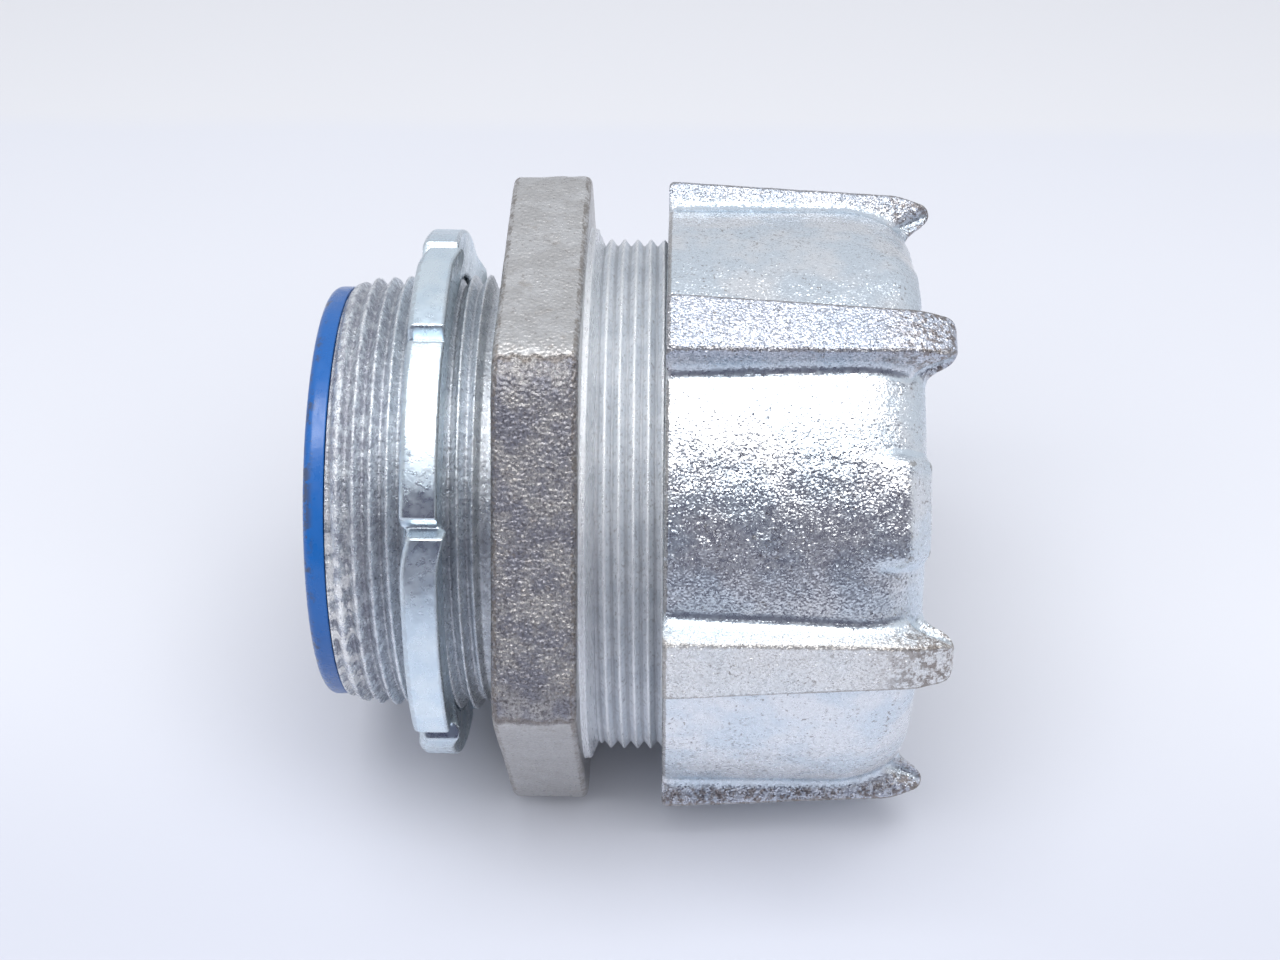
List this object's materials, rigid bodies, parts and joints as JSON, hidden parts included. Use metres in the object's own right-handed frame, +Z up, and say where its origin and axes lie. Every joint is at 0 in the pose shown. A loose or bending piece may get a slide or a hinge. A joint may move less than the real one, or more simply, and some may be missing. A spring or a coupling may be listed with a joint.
{
  "type": "liquid-tight flexible conduit connector",
  "caption": "Straight liquid-tight connector for flexible metal conduit: threaded hub with lined throat and locknut, hexagon body, winged gland nut that squeezes a sealing ring.",
  "frame": {"origin": "on the fitting's axis, at the middle of its overall length", "axes": "+X along the axis towards the end where the conduit enters; +Z up with one flat of the hexagon facing down"},
  "size_m": [0.082, 0.0874, 0.084],
  "materials": {
    "cast_zinc": "zinc-plated rough casting with machined threads, dull and stained",
    "blue_plastic": "smooth glossy moulding",
    "locknut_zinc": "bright zinc plate with a bluish tint",
    "bright_cast_zinc": "bright zinc plate over a fine-grained casting",
    "black_plastic": "plain satin moulding",
    "ferrule_steel": "drawn steel with thin zinc plate"
  },
  "bodies": {
    "body": {"connector_body": "cast_zinc"},
    "throat": {"insulated_throat": "blue_plastic"},
    "locknut": {"locknut": "locknut_zinc"},
    "sealing_ring": {"sealing_ring": "black_plastic"},
    "gland_nut": {"gland_nut": "bright_cast_zinc"},
    "ferrule": {"grounding_ferrule": "ferrule_steel"}
  },
  "joints": [
    {"name": "locknut_turn", "type": "hinge", "parent": "body", "child": "throat", "pos_m": [-0.02525, 0, 0], "axis": [1, 0, 0], "range_deg": [-3240, 900]},
    {"name": "locknut_travel", "type": "slide", "parent": "throat", "child": "locknut", "axis": [1, 0, 0], "range_m": [-0.01989, 0.00553]},
    {"name": "sealing_ring_travel", "type": "slide", "parent": "body", "child": "sealing_ring", "axis": [1, 0, 0], "range_m": [-0.00545, 0.01452]},
    {"name": "gland_nut_turn", "type": "hinge", "parent": "sealing_ring", "child": "gland_nut", "pos_m": [0.01395, 0, 0], "axis": [1, 0, 0], "range_deg": [-1080, 2880]},
    {"name": "ferrule_travel", "type": "slide", "parent": "body", "child": "ferrule", "axis": [1, 0, 0], "range_m": [0, 0.008]}
  ],
  "couplings": [
    {"joint": "locknut_travel", "follows": "locknut_turn", "m_per_rad": 0.00035152},
    {"joint": "sealing_ring_travel", "follows": "gland_nut_turn", "m_per_rad": 0.00028875}
  ]
}
